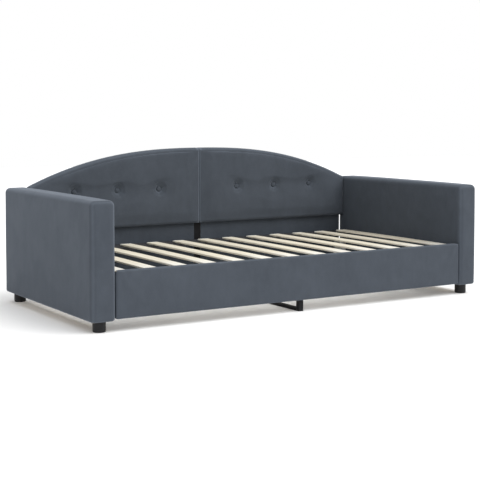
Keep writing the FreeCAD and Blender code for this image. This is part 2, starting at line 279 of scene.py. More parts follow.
def slat_paint(shade):
    """Planed softwood: grain along the slat, each slat a little different, paler at its ends."""
    paint = Paint("planed_slat_wood")
    low, high = node_box(SLAT_NAMES[0])
    pitch = slat_pitch()
    number = paint.node("ShaderNodeMath", {"operation": "FLOOR"},
                        {0: (paint.axis(0) + pitch / 2) / pitch})
    chance = paint.node("ShaderNodeTexWhiteNoise", {"noise_dimensions": "1D"}, {"W": number})
    shift = paint.node("ShaderNodeCombineXYZ", None,
                       {0: chance * 3.0, 1: chance * 7.0, 2: chance * 5.0})
    spot = paint.node("ShaderNodeVectorMath", {"operation": "ADD"},
                      {0: paint.place((1.0, 0.05, 1.0)), 1: shift})
    grain = paint.noise(95.0, detail=5.0, rough=0.62, twist=0.5, spot=spot)
    broad = paint.noise(22.0, detail=2.0, rough=0.5, twist=1.2, spot=spot)
    streak = paint.span(grain * 0.65 + broad * 0.35, 0.34, 0.68)
    base = paint.mix(streak, tone(shade, 1.1), tone(shade, 0.78))
    base = paint.mix(paint.span(chance, 0.0, 1.0, 0.0, 0.22), base, WARM_SLAT)
    along = paint.axis(1)
    front_end = paint.span(along, low[1] + 260 * MM, low[1] + 90 * MM)
    back_end = paint.span(along, high[1] - 35 * MM, high[1] - 8 * MM)
    pale = paint.span((front_end + back_end) * (0.6 + streak * 0.8), 0.0, 1.0, 0.0, 0.55)
    base = paint.mix(pale, base, PALE_SLAT_END)
    rough = paint.span(grain, 0.3, 0.7, 0.52, 0.72)
    normal = paint.bump(grain, 0.3, 0.4 * MM)
    return paint.finish(Base_Color=base, Roughness=rough, Normal=normal)


def board_paint(name, shade):
    """Plywood or batten with long grain."""
    paint = Paint(name)
    grain = paint.noise(60.0, detail=5.0, rough=0.6, stretch=(0.08, 1.0, 1.0), twist=0.8)
    plies = paint.noise(420.0, detail=1.0, rough=0.5, stretch=(0.02, 1.0, 0.3))
    streak = paint.span(grain * 0.75 + plies * 0.25, 0.32, 0.68)
    base = paint.mix(streak, tone(shade, 1.22), tone(shade, 0.7))
    return paint.finish(Base_Color=base, Roughness=paint.span(grain, 0.3, 0.7, 0.6, 0.8),
                        Normal=paint.bump(grain, 0.25, 0.5 * MM))


def plastic_paint(name, shade):
    """Moulded plastic with a fine spark-eroded grain and light scuffs."""
    paint = Paint(name)
    grit = paint.noise(1400.0, detail=2.0, rough=0.6)
    marks = paint.noise(60.0, detail=4.0, rough=0.7, stretch=(1, 1, 0.25))
    scuff = paint.span(marks, 0.55, 0.75)
    base = paint.mix(scuff, shade, tone(shade, 2.4))
    rough = paint.span(grit + scuff * 0.4, 0.3, 1.0, 0.38, 0.6)
    return paint.finish(Base_Color=base, Roughness=rough,
                        Normal=paint.bump(grit, 0.3, 0.2 * MM), Specular_IOR_Level=0.25)


def steel_paint(name, shade, metallic, low_rough, high_rough, gloss=0.5):
    """Powder-coated or plated steel, faintly orange-peeled."""
    paint = Paint(name)
    peel = paint.noise(500.0, detail=2.0, rough=0.5)
    bloom = paint.noise(35.0, detail=3.0, rough=0.6)
    base = paint.mix(paint.span(bloom, 0.35, 0.7), shade, tone(shade, 1.45))
    return paint.finish(Base_Color=base, Metallic=metallic,
                        Roughness=paint.span(bloom + peel * 0.3, 0.45, 0.95, low_rough, high_rough),
                        Normal=paint.bump(peel, 0.2, 0.15 * MM), Specular_IOR_Level=gloss)


def webbing_paint(name, shade):
    """Flat woven tape: ribs across and a twill along."""
    paint = Paint(name)
    ribs = paint.node("ShaderNodeTexWave", {"wave_type": "BANDS", "bands_direction": "X"},
                      {"Vector": paint.place(), "Scale": 220.0, "Distortion": 0.6})
    rows = paint.node("ShaderNodeTexWave", {"wave_type": "BANDS", "bands_direction": "Y"},
                      {"Vector": paint.place(), "Scale": 160.0, "Distortion": 0.4})
    weave = ribs * 0.6 + rows * 0.4
    base = paint.mix(paint.span(weave, 0.2, 0.9), tone(shade, 0.72), shade)
    return paint.finish(Base_Color=base, Roughness=paint.span(weave, 0.0, 1.0, 0.9, 0.75),
                        Normal=paint.bump(weave, 0.5, 0.4 * MM))


def floor_paint(shade):
    """A plain pale floor, very faintly clouded."""
    paint = Paint("pale_floor")
    cloudy = paint.noise(1.2, detail=2.0, rough=0.5)
    base = paint.mix(paint.span(cloudy, 0.3, 0.7), tone(shade, 0.985), shade)
    return paint.finish(Base_Color=base, Roughness=0.75, Specular_IOR_Level=0.15)


STAINED_WOOD = (0.022, 0.022, 0.026)
DARK_TAPE = (0.03, 0.03, 0.033)
FOOT_PLASTIC = (0.008, 0.008, 0.009)
POWDER_COAT = (0.007, 0.007, 0.008)
ZINC_PLATE = (0.50, 0.50, 0.49)
PAINTS = {}


def paint_for(slot):
    """The one material of a finish, made when it is first asked for."""
    shades = bpy.context.scene.daybed_colours
    makers = {
        "velvet": lambda: velvet_paint("blue_grey_velvet", tuple(shades.velvet)),
        "slat_wood": lambda: slat_paint(tuple(shades.slat)),
        "frame_wood": lambda: board_paint("raw_plywood", tuple(shades.plywood)),
        "dark_wood": lambda: board_paint("black_stained_wood", STAINED_WOOD),
        "webbing": lambda: webbing_paint("dark_webbing", DARK_TAPE),
        "tie_cord": lambda: webbing_paint("waxed_tie_cord", tuple(shades.velvet)),
        "black_plastic": lambda: plastic_paint("black_foot_plastic", FOOT_PLASTIC),
        "black_steel": lambda: steel_paint("black_powder_coat", POWDER_COAT, 0.0, 0.5, 0.65, 0.15),
        "zinc": lambda: steel_paint("zinc_plate", ZINC_PLATE, 0.95, 0.28, 0.45),
        "floor": lambda: floor_paint(tuple(shades.floor)),
    }
    if slot not in PAINTS:
        PAINTS[slot] = makers[slot]()
    return PAINTS[slot]


# -------- meshes

def piece_from(name, places, faces, slot):
    """A smooth-shaded mesh object at the origin."""
    mesh = bpy.data.meshes.new(name)
    mesh.from_pydata([tuple(p) for p in places], [], faces)
    mesh.update()
    return piece_of(name, mesh, slot)


def piece_of(name, mesh, slot, smooth=True):
    """An object at the origin for a mesh, with the finish of a slot."""
    mesh.name = name
    mesh.materials.clear()
    mesh.materials.append(paint_for(slot))
    mesh.polygons.foreach_set("use_smooth", [smooth] * len(mesh.polygons))
    piece = bpy.data.objects.new(name, mesh)
    bpy.context.scene.collection.objects.link(piece)
    return piece


def vertex_places(mesh):
    """Places of a mesh's points as an array."""
    flat = np.empty(len(mesh.vertices) * 3)
    mesh.vertices.foreach_get("co", flat)
    return flat.reshape(-1, 3)


def set_vertex_places(mesh, places):
    """Move a mesh's points."""
    mesh.vertices.foreach_set("co", np.ascontiguousarray(places, dtype=np.float32).ravel())
    mesh.update()


def vertex_normals(mesh):
    """Directions in which a mesh's points face."""
    flat = np.empty(len(mesh.vertices) * 3, dtype=np.float32)
    mesh.vertex_normals.foreach_get("vector", flat)
    return flat.reshape(-1, 3)


# In the middle of a rounded edge, the largest part of the normal is this much under 1.
EDGE_MIDDLE = 0.29


def mark_edge_highlight(mesh, extra=0.0):
    """Keep how far each point lies on a rounded edge, where the velvet gets a painted highlight."""
    facing = np.abs(vertex_normals(mesh)).max(axis=1)
    amount = np.clip((1 - facing) / EDGE_MIDDLE, 0, 1) * (1.0 + extra)
    mark = mesh.attributes.new("edge_highlight", "FLOAT", "POINT")
    mark.data.foreach_set("value", amount.astype(np.float32))


def ripple(places, scale, seed):
    """Smooth noise at each point, about -1 to 1."""
    offset = Vector((seed * 7.3, seed * 3.1, seed * 5.7))
    return np.array([noise.noise(Vector(p) * scale + offset) for p in places])


def evaluated_mesh(piece):
    """A plain mesh of a piece with its modifiers applied."""
    graph = bpy.context.evaluated_depsgraph_get()
    return bpy.data.meshes.new_from_object(piece.evaluated_get(graph))


def edge_lines(low, high, low_radius, high_radius, step):
    """Grid lines along one side, one for every 9 degrees over its rounded ends."""
    turns = [1 - math.tan(math.radians(45 - 9 * i)) for i in range(5)]
    middle = max(2, round((high - low - low_radius - high_radius) / step))
    lines = [low + low_radius * t for t in turns]
    lines += list(np.linspace(low + low_radius, high - high_radius, middle + 1))
    lines += [high - high_radius * t for t in reversed(turns)]
    return lines


HEM_STEPS = 4


def open_box(low, high, edge, hem, wall, step):
    """A soft-edged box with a wall, open underneath: places and faces.

    Its upright and top edges have the radius edge. Its lower edge turns under with the radius hem.
    """
    lines = [edge_lines(low[i], high[i], edge, edge, step) for i in (0, 1)]
    hem_lines = [low[2] + hem * i / HEM_STEPS for i in range(HEM_STEPS + 1)]
    # The first six lines of a side whose lower end isn't rounded fall on the hem's last line.
    lines.append(hem_lines + edge_lines(low[2] + hem, high[2], 0.0, edge, step)[6:])
    last = [len(line) - 1 for line in lines]
    index = {}
    places = []
    faces = []

    def corner(cell):
        if cell not in index:
            index[cell] = len(index)
            places.append([lines[a][cell[a]] for a in range(3)])
        return index[cell]

    for axis, side in ((0, 0), (0, last[0]), (1, 0), (1, last[1]), (2, last[2])):
        u, v = (axis + 1) % 3, (axis + 2) % 3
        for i in range(last[u]):
            for j in range(last[v]):
                ring = []
                for du, dv in ((0, 0), (1, 0), (1, 1), (0, 1)):
                    cell = [0, 0, 0]
                    cell[axis], cell[u], cell[v] = side, i + du, j + dv
                    ring.append(corner(tuple(cell)))
                faces.append(ring if side else ring[::-1])
    places, normals = soften(np.array(places), low, high, edge, hem)
    return add_wall(places, normals, faces, wall - hem, high[2] - wall)


def soften(places, low, high, edge, hem):
    """Round the upright and top edges, and turn the lower edge under."""
    core_low = np.array([low[0] + edge, low[1] + edge, -np.inf])
    core_high = np.array([high[0] - edge, high[1] - edge, high[2] - edge])
    core = np.clip(places, core_low, core_high)
    out = places - core
    reach = np.linalg.norm(out, axis=1)
    normals = out / np.maximum(reach, TINY)[:, None]
    soft = core + normals * np.minimum(reach, edge)[:, None]
    turn = np.clip((soft[:, 2] - low[2]) / hem, 0, 1) * math.pi / 2
    under = soft[:, 2] < low[2] + hem - 1e-7
    soft[under, :2] -= normals[under, :2] * (hem * (1 - np.sin(turn[under])))[:, None]
    soft[under, 2] = low[2] + hem * (1 - np.cos(turn[under]))
    return soft, normals


def add_wall(places, normals, faces, band_width, inner_top):
    """Close an open box: an underside band, an inner wall and an inner top.

    Where the wall is as thick as the hem's radius, the band has no width.
    """
    counts = {}
    for face in faces:
        for a, b in zip(face, face[1:] + face[:1]):
            counts[(a, b)] = counts.get((a, b), 0) + 1
    rim = {b: a for a, b in counts if (b, a) not in counts}
    start = next(iter(rim))
    ring = [start]
    while rim[ring[-1]] != start:
        ring.append(rim[ring[-1]])
    band = places[ring].copy()
    band[:, :2] -= normals[ring][:, :2] * band_width
    roof = band.copy()
    roof[:, 2] = inner_top
    first = len(places)
    count = len(ring)
    places = np.vstack([places, band, roof])
    for i in range(count):
        j = (i + 1) % count
        faces.append([ring[i], ring[j], first + j, first + i])
        faces.append([first + i, first + j, first + count + j, first + count + i])
    faces.append([first + count + i for i in range(count)])
    return places, faces


FACE_SHARE = 8


def crown(places, low, high, bulges):
    """Push each face outwards in its middle.

    bulges gives the rise of the low and the high face on X, Y and Z. A face takes the points in the
    last 1 / FACE_SHARE of the way to it.
    """
    middle = (low + high) / 2
    half = (high - low) / 2
    share = np.clip((places - middle) / half, -1, 1)
    fade = 1 - share ** 4
    moved = places.copy()
    for axis in range(3):
        others = [i for i in range(3) if i != axis]
        rise = np.prod(fade[:, others], axis=1)
        for sign, bulge in zip((-1, 1), bulges[axis]):
            near = np.clip(share[:, axis] * sign * FACE_SHARE - (FACE_SHARE - 1), 0, 1)
            moved[:, axis] += sign * bulge * rise * near
    return moved


# -------- arms and rail

ARM_GRID = 7 * MM
ARM_WAVES, ARM_SWAY = 5.0, 0.9
ARM_SEEDS = {"left": 3, "right": 4}


def make_arm(side):
    """One padded arm: soft edges, crowned faces and a turned-under hem."""
    sizes = bpy.context.scene.daybed_sizes
    node = side + "_arm_cover"
    low, high = node_box(node)
    wall = node_box(side + "_arm_base_board")[0][0] - low[0]
    places, faces = open_box(low, high, sizes.arm_edge, sizes.hem_edge, wall, ARM_GRID)
    bulge = sizes.arm_bulge
    across = (bulge, 0.0) if side == "left" else (0.0, bulge)
    shaped = crown(places, low, high, (across, (bulge, bulge * 0.5), (0.0, bulge)))
    outer = np.abs(shaped[:, 0]) > (abs(low[0]) + abs(high[0])) / 2
    sway = ripple(shaped, ARM_WAVES, ARM_SEEDS[side]) * ARM_SWAY * MM
    shaped[:, 0] += np.where(outer, sway, 0.0) * np.sign(shaped[:, 0])
    arm = piece_from(side + "_velvet_arm", shaped, faces, "velvet")
    mark_edge_highlight(arm.data)
    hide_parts(node)
    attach(arm, "bed_frame")


# Pull folds at an end of the rail: distance of the top from the end, slope, width and strength.
PULL_FOLDS = ((0.020, 0.55, 0.013, 1.0), (0.075, 0.75, 0.018, 0.8),
              (0.150, 0.95, 0.022, 0.55), (0.245, 1.2, 0.028, 0.35))
FOLD_FALL = 0.11
FOLD_START = 0.01


def rail_folds(places, low, high, height):
    """Slanting pull folds in the fabric near both ends of the rail."""
    rise = np.zeros(len(places))
    for sign in (-1, 1):
        end = high[0] if sign > 0 else -low[0]
        inward = end - sign * places[:, 0]
        down = high[2] - places[:, 2]
        for start, slope, width, strength in PULL_FOLDS:
            across = (inward - start - down * slope) / math.hypot(1, slope)
            fade = np.exp(-down / FOLD_FALL) * np.clip(inward / FOLD_START, 0, 1)
            rise += strength * np.exp(-(across / width) ** 2) * fade
    return rise * height


RAIL_GRID = 8 * MM
FACE_WAVES, FACE_SWAY, FACE_SEED = 6.0, 0.7, 9
HEM_WAVES, HEM_SWAY, HEM_SEED = 4.0, 1.6, 12


def make_rail():
    """The front rail's velvet cover, folded over its board.

    The box is made with the rail lying on its face, and then stood up.
    """
    sizes = bpy.context.scene.daybed_sizes
    low, high = node_box("front_rail_cover")
    board_low = node_box("front_rail_board")[0]
    wall = board_low[2] - low[2]
    lying_low = np.array([low[0], low[2], -high[1]])
    lying_high = np.array([high[0], high[2], -low[1]])
    places, faces = open_box(lying_low, lying_high, sizes.rail_edge, wall / 2, wall, RAIL_GRID)
    upright = np.stack([places[:, 0], -places[:, 2], places[:, 1]], axis=1)
    inward, down = high[0] - np.abs(upright[:, 0]), high[2] - upright[:, 2]
    inward, down = roll(inward, down, sizes.rail_corner)
    upright[:, 0] = (high[0] - inward) * np.sign(upright[:, 0])
    upright[:, 2] = high[2] - down
    face = np.clip((high[1] - upright[:, 1]) / (high[1] - low[1]) * 2 - 1, 0, 1)
    face *= upright[:, 1] < board_low[1] - 1e-5
    upright[:, 1] -= face * rail_folds(upright, low, high, sizes.rail_pucker)
    upright[:, 1] -= face * ripple(upright, FACE_WAVES, FACE_SEED) * FACE_SWAY * MM
    lift = ripple(upright * (1, 0, 0), HEM_WAVES, HEM_SEED) * HEM_SWAY * MM
    lower = upright[:, 2] < low[2] + sizes.rail_edge
    upright[:, 2] += np.where(lower, lift, 0.0) * (upright[:, 1] < board_low[1])
    rail = piece_from("velvet_front_rail", upright, faces, "velvet")
    mark_edge_highlight(rail.data)
    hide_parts("front_rail_cover")
    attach(rail, "bed_frame")


# -------- back pads and buttons

def button_places():
    """Centres of the buttons on the right half, from their one frame node."""
    mesh = frame["nodes"]["back_buttons"].data
    places = vertex_places(mesh)
    xs = sorted(places[places[:, 0] > 0][:, 0])
    height = (places[:, 2].min() + places[:, 2].max()) / 2
    radius = (places[:, 2].max() - places[:, 2].min()) / 2
    centres = []
    for x in xs:
        if not centres or x > centres[-1] + 4 * radius:
            centres.append(x)
    return [(x + radius, height) for x in centres], radius


def welded_copy(node):
    """A frame node's mesh with its doubles merged."""
    mesh = frame["nodes"][node].data.copy()
    shape = bmesh.new()
    shape.from_mesh(mesh)
    bmesh.ops.remove_doubles(shape, verts=shape.verts, dist=1e-5)
    bmesh.ops.recalc_face_normals(shape, faces=shape.faces)
    shape.to_mesh(mesh)
    shape.free()
    return mesh


CLOTH = {"quality": 5, "mass": 0.3, "tension_stiffness": 18, "compression_stiffness": 12,
         "shear_stiffness": 8, "bending_stiffness": 2.5, "use_pressure": True,
         "uniform_pressure_force": 4.0}
CLOTH_FRAMES = 20
EVEN_PASSES = 30


def puff(piece, held, cap):
    """Swell a pad's free fabric with air pressure, and let no point move more than cap."""
    before = vertex_places(piece.data)
    pins = piece.vertex_groups.new(name="pins")
    pins.add([int(i) for i in np.flatnonzero(held)], 1.0, "REPLACE")
    cloth = piece.modifiers.new("air", "CLOTH")
    for key, setting in CLOTH.items():
        setattr(cloth.settings, key, setting)
    cloth.settings.vertex_group_mass = pins.name
    cloth.settings.effector_weights.gravity = 0.0
    cloth.collision_settings.use_collision = False
    cloth.point_cache.frame_start = 1
    cloth.point_cache.frame_end = CLOTH_FRAMES
    scene = bpy.context.scene
    for step in range(1, CLOTH_FRAMES + 1):
        scene.frame_set(step)
    after = vertex_places(evaluated_mesh(piece))
    scene.frame_set(1)
    piece.modifiers.remove(cloth)
    piece.vertex_groups.remove(pins)
    move = even_out(piece.data, after - before, ~held, EVEN_PASSES)
    far = np.linalg.norm(move, axis=1)
    move *= (np.minimum(far, cap) / np.maximum(far, TINY))[:, None]
    set_vertex_places(piece.data, before + move)


def even_out(mesh, move, free, passes):
    """Blend each free point's move with its neighbours' moves, so that no creases stay."""
    flat = np.empty(len(mesh.edges) * 2, dtype=np.int64)
    mesh.edges.foreach_get("vertices", flat)
    first, second = flat.reshape(-1, 2).T
    count = np.bincount(flat, minlength=len(move)).astype(float)
    for _ in range(passes):
        total = np.zeros_like(move)
        np.add.at(total, first, move[second])
        np.add.at(total, second, move[first])
        move = np.where(free[:, None], 0.4 * move + 0.6 * total / count[:, None], move)
    return move


# Where a button's hollow meets the swollen face, and how wide the blend is, in tuft spreads.
TUFT_REACH, TUFT_BLEND, TUFT_RIM = 2.9, 0.9, 0.2


def tuft(places, front):
    """Pull the front fabric in towards each button, in a soft pointed hollow."""
    sizes = bpy.context.scene.daybed_sizes
    centres, radius = button_places()
    depth = node_box("back_buttons")[1][1] - front
    pulled = places.copy()
    for x, z in centres:
        far = np.hypot(np.abs(places[:, 0]) - x, places[:, 2] - z)
        rim = np.abs(far / sizes.tuft_spread - TUFT_REACH) < TUFT_RIM
        rim &= places[:, 1] < front + 5 * MM
        face = places[rim, 1].mean()
        deep = depth + front - face
        hollow = face + deep * np.exp(-np.maximum(far - radius, 0) / sizes.tuft_spread)
        near = np.clip((TUFT_REACH - far / sizes.tuft_spread) / TUFT_BLEND, 0, 1)
        near = near * near * (3 - 2 * near) * (places[:, 1] < front + depth + 2 * MM)
        pulled[:, 1] += near * (hollow - places[:, 1])
    return pulled


# Distances over which the folds round a button begin and die out.
PLEAT_START, PLEAT_FALL = 0.008, 0.022


def pleats(places, depth, phase):
    """Small folds that run out from each button."""
    rise = np.zeros(len(places))
    centres, radius = button_places()
    for number, (x, z) in enumerate(centres):
        across, up = np.abs(places[:, 0]) - x, places[:, 2] - z
        far = np.hypot(across, up)
        turn = np.arctan2(up, across)
        folds = np.cos(7 * turn + phase + number * 1.7) + 0.6 * np.cos(4 * turn - phase + number)
        fade = np.clip((far - radius * 0.9) / PLEAT_START, 0, 1)
        fade *= np.exp(-(far - radius) / PLEAT_FALL)
        rise += depth * folds * fade
    return rise


# A cloth's points less than this below its highest point lie on its arched top.
ARCH_FALL = 195 * MM


def arch_top(x, node):
    """Heights of the arched top of a frame node at x."""
    places = vertex_places(frame["nodes"][node].data)
    top = places[places[:, 2] > places[:, 2].max() - ARCH_FALL]
    order = np.argsort(top[:, 0])
    return np.interp(x, top[order, 0], top[order, 2])


def roll(front, side, radius):
    """Round the corner between a front face and a side; takes and gives the depths below both."""
    across, down = front - radius, side - radius
    far = np.hypot(across, down)
    outside = (across < 0) & (down < 0) & (far > radius)
    share = np.where(outside, radius / np.maximum(far, TINY), 1.0)
    return radius + across * share, radius + down * share


CREASE_DEPTH = 1.2 * MM
CREASE_WIDTH = 6 * MM
CREASE_START, CREASE_FADE = 0.35, 0.3
SIDE_BAND = 3 * MM
PAD_DROP = 1.5 * MM
SEAM_GAP = 0.1 * MM


def roll_edges(places, node):
    """Give a pad its soft arched edge, its outer and lower edges, and its half of the seam."""
    sizes = bpy.context.scene.daybed_sizes
    low, high = node_box(node)
    cloth = node.replace("pad", "rear_cloth")
    x = np.abs(places[:, 0])
    inner, outer = sorted((abs(low[0]), abs(high[0])))
    front = places[:, 1] - low[1]
    arch = arch_top(places[:, 0], cloth) + high[2] - node_box(cloth)[1][2]
    below = arch - places[:, 2]
    front, below = roll(front, below, sizes.pad_roll)
    crease = np.exp(-((below - sizes.pad_roll * 1.1) / CREASE_WIDTH) ** 2)
    crease *= np.clip((x - CREASE_START) / CREASE_FADE, 0, 1)
    front += CREASE_DEPTH * crease * (front < 4 * MM)
    z = arch - below
    front, above = roll(front, z - low[2], sizes.pad_edge)
    z = low[2] + np.where(z > low[2] + SIDE_BAND, above, -PAD_DROP)
    front, inside = roll(front, outer - x, sizes.pad_edge)
    x = outer - inside
    near_seam = x - inner < SIDE_BAND
    front, inside = roll(front, np.where(near_seam, 0.0, x - inner), sizes.pad_seam)
    x = np.where(x - inner < sizes.pad_seam, inside + SEAM_GAP, x)
    return np.stack([x * np.sign(places[:, 0]), low[1] + front, z], axis=1)


def make_pad_shape():
    """The right-hand pad, swollen between its buttons."""
    sizes = bpy.context.scene.daybed_sizes
    shape = piece_of("pad_shape", welded_copy("right_back_pad"), "velvet")
    remesh = shape.modifiers.new("even", "REMESH")
    remesh.mode = "VOXEL"
    remesh.voxel_size = sizes.pad_voxel
    shape.data = evaluated_mesh(shape)
    shape.modifiers.clear()
    low, high = node_box("right_back_pad")
    board_front = node_box("right_back_board")[0][1]
    places = vertex_places(shape.data)
    centres, radius = button_places()
    play = sizes.pad_voxel * 0.4
    held = places[:, 1] > board_front - 12 * MM
    held |= (places[:, 0] < low[0] + play) | (places[:, 0] > high[0] - play)
    held |= places[:, 2] < low[2] + play
    for x, z in centres:
        held |= np.hypot(places[:, 0] - x, places[:, 2] - z) < radius + 2 * MM
    puff(shape, held, sizes.pad_swell)
    return shape


PAD_PHASES = {"right": 0.0, "left": 2.1}
PAD_WAVES, PAD_SWAY = 9.0, 0.7


def make_pad(side, shape):
    """One half of the back: the swollen pad with pleats, its own ripples and one subdivision."""
    sizes = bpy.context.scene.daybed_sizes
    node = side + "_back_pad"
    mesh = shape.data.copy()
    if side == "left":
        set_vertex_places(mesh, vertex_places(mesh) * (-1, 1, 1))
        mesh.flip_normals()
    pad = piece_of(side + "_tufted_pad", mesh, "velvet")
    finer = pad.modifiers.new("finer", "SUBSURF")
    finer.levels = finer.render_levels = 1
    pad.data = evaluated_mesh(pad)
    pad.modifiers.clear()
    pad.data.polygons.foreach_set("use_smooth", [True] * len(pad.data.polygons))
    board_front = node_box(side + "_back_board")[0][1]
    places = vertex_places(pad.data)
    free = np.clip((board_front - 6 * MM - places[:, 1]) / (10 * MM), 0, 1)
    places = tuft(roll_edges(places, node), node_box(node)[0][1])
    phase = PAD_PHASES[side]
    lift = pleats(places, sizes.pleat, phase)
    lift += ripple(places, PAD_WAVES, 20 + phase) * PAD_SWAY * MM
    places += vertex_normals(pad.data) * (lift * free)[:, None]
    set_vertex_places(pad.data, places)
    # The velvet along the seam gets a stronger painted highlight than the other edges.
    at_seam = np.abs(places[:, 0]) < 2 * sizes.pad_seam
    mark_edge_highlight(pad.data, at_seam * 2.0)
    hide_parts(node)
    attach(pad, "bed_frame")


# -------- repeated pieces

class Recipe:
    """A Geometry Nodes tree with named inputs; it repeats one small shape."""

    def __init__(self, name, inputs):
        self.group = bpy.data.node_groups.new(name, "GeometryNodeTree")
        face = self.group.interface
        face.new_socket("Geometry", in_out="INPUT", socket_type="NodeSocketGeometry")
        for label, kind in inputs:
            face.new_socket(label, in_out="INPUT", socket_type="NodeSocket" + kind)
        face.new_socket("Geometry", in_out="OUTPUT", socket_type="NodeSocketGeometry")
        self.entry = self.group.nodes.new("NodeGroupInput")
        self.exit = self.group.nodes.new("NodeGroupOutput")

    def given(self, label):
        """An input of the tree."""
        return self.entry.outputs[label]

    def node(self, kind, settings=None, sockets=None):
        """Add a node and feed its sockets with values or links; gives the node."""
        made = self.group.nodes.new(kind)
        for key, setting in (settings or {}).items():
            setattr(made, key, setting)
        for key, value in (sockets or {}).items():
            if isinstance(value, bpy.types.NodeSocket):
                self.group.links.new(value, made.inputs[key])
            else:
                made.inputs[key].default_value = value
        return made

    def math(self, operation, first, second):
        """The result of one step of arithmetic."""
        made = self.node("ShaderNodeMath", {"operation": operation}, {0: first, 1: second})
        return made.outputs[0]

    def vector(self, x=0.0, y=0.0, z=0.0):
        """A vector of three numbers."""
        return self.node("ShaderNodeCombineXYZ", None, {0: x, 1: y, 2: z}).outputs[0]

    def close(self, geometry):
        """End in Realize Instances and Set Material."""
        real = self.node("GeometryNodeRealizeInstances", None, {0: geometry})
        coat = self.node("GeometryNodeSetMaterial", None,
                         {"Geometry": real.outputs[0], "Material": self.given("Material")})
        self.group.links.new(coat.outputs[0], self.exit.inputs[0])

    def grow(self, name, slot, values, seed_places=((0.0, 0.0, 0.0),), smooth=True):
        """Run the tree on a mesh of loose points and keep the result as one plain mesh."""
        seeds = bpy.data.meshes.new(name + "_points")
        seeds.from_pydata([tuple(p) for p in seed_places], [], [])
        host = bpy.data.objects.new(name + "_points", seeds)
        bpy.context.scene.collection.objects.link(host)
        work = host.modifiers.new("repeat", "NODES")
        work.node_group = self.group
        values = dict(values, Material=paint_for(slot))
        for item in self.group.interface.items_tree:
            if item.in_out == "INPUT" and item.name in values:
                work[item.identifier] = values[item.name]
        mesh = evaluated_mesh(host)
        bpy.data.objects.remove(host)
        return piece_of(name, mesh, slot, smooth)


def slat_recipe():
    """A row of bowed slats along X."""
    recipe = Recipe("slat_row", [("Count", "Int"), ("Pitch", "Float"), ("Width", "Float"),
                                 ("Length", "Float"), ("Thickness", "Float"), ("Bow", "Float"),
                                 ("First", "Vector"), ("Material", "Material")])
    size = recipe.vector(recipe.given("Width"), recipe.given("Length"), recipe.given("Thickness"))
    bar = recipe.node("GeometryNodeMeshCube", None,
                      {"Size": size, "Vertices X": 2, "Vertices Y": 21, "Vertices Z": 2})
    spot = recipe.node("GeometryNodeInputPosition")
    split = recipe.node("ShaderNodeSeparateXYZ", None, {0: spot.outputs[0]})
    share = recipe.math("DIVIDE", split.outputs[1], recipe.given("Length"))
    drop = recipe.math("MULTIPLY", recipe.math("POWER", share, 2.0), 4.0)
    rise = recipe.math("MULTIPLY", recipe.math("SUBTRACT", 1.0, drop), recipe.given("Bow"))
    bowed = recipe.node("GeometryNodeSetPosition", None,
                        {"Geometry": bar.outputs[0], "Offset": recipe.vector(z=rise)})
    row = recipe.node("GeometryNodeMeshLine", {"mode": "OFFSET"},
                      {"Count": recipe.given("Count"), "Start Location": recipe.given("First"),
                       "Offset": recipe.vector(recipe.given("Pitch"))})
    set_out = recipe.node("GeometryNodeInstanceOnPoints", None,
                          {"Points": row.outputs[0], "Instance": bowed.outputs[0]})
    recipe.close(set_out.outputs[0])
    return recipe


def block_recipe():
    """A small block, such as a staple's crown, at each point."""
    recipe = Recipe("blocks", [("Size", "Vector"), ("Material", "Material")])
    block = recipe.node("GeometryNodeMeshCube", None, {"Size": recipe.given("Size")})
    set_out = recipe.node("GeometryNodeInstanceOnPoints", None,
                          {"Points": recipe.given("Geometry"), "Instance": block.outputs[0]})
    recipe.close(set_out.outputs[0])
    return recipe


# A button is flattened at this share of its radius behind the middle.
BUTTON_BACK = -0.35


def button_recipe():
    """A fabric-covered dome with a pinched rim at each point."""
    recipe = Recipe("buttons", [("Radius", "Float"), ("Height", "Float"), ("Material", "Material")])
    ball = recipe.node("GeometryNodeMeshUVSphere", None,
                       {"Segments": 32, "Rings": 18, "Radius": recipe.given("Radius")})
    spot = recipe.node("GeometryNodeInputPosition")
    split = recipe.node("ShaderNodeSeparateXYZ", None, {0: spot.outputs[0]})
    share = recipe.math("DIVIDE", split.outputs[2], recipe.given("Radius"))
    lifted = recipe.math("MULTIPLY", recipe.math("MAXIMUM", share, BUTTON_BACK),
                         recipe.given("Height"))
    lower = recipe.vector(split.outputs[0], split.outputs[1], lifted)
    dome = recipe.node("GeometryNodeSetPosition", None,
                       {"Geometry": ball.outputs[0], "Position": lower})
    set_out = recipe.node("GeometryNodeInstanceOnPoints", None,
                          {"Points": recipe.given("Geometry"), "Instance": dome.outputs[0],
                           "Rotation": (math.pi / 2, 0.0, 0.0)})
    recipe.close(set_out.outputs[0])
    return recipe


def make_slats():
    """The row of bowed slats, with eased edges."""
    sizes = bpy.context.scene.daybed_sizes
    low, high = node_box(SLAT_NAMES[0])
    width, along, thick = (float(side) for side in high - low)
    values = {"Count": len(SLAT_NAMES), "Pitch": float(slat_pitch()), "Width": width,
              "Length": along, "Thickness": thick, "Bow": sizes.slat_bow,
              "First": [float(c) for c in (low + high) / 2]}
    slats = slat_recipe().grow("slats", "slat_wood", values)
    edge = slats.modifiers.new("eased_edges", "BEVEL")
    edge.width = sizes.slat_edge
    edge.segments = 3
    edge.limit_method = "ANGLE"
    edge.angle_limit = math.radians(40)
    edge.harden_normals = True
    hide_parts(*SLAT_NAMES)
    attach(slats, "slatted_base")


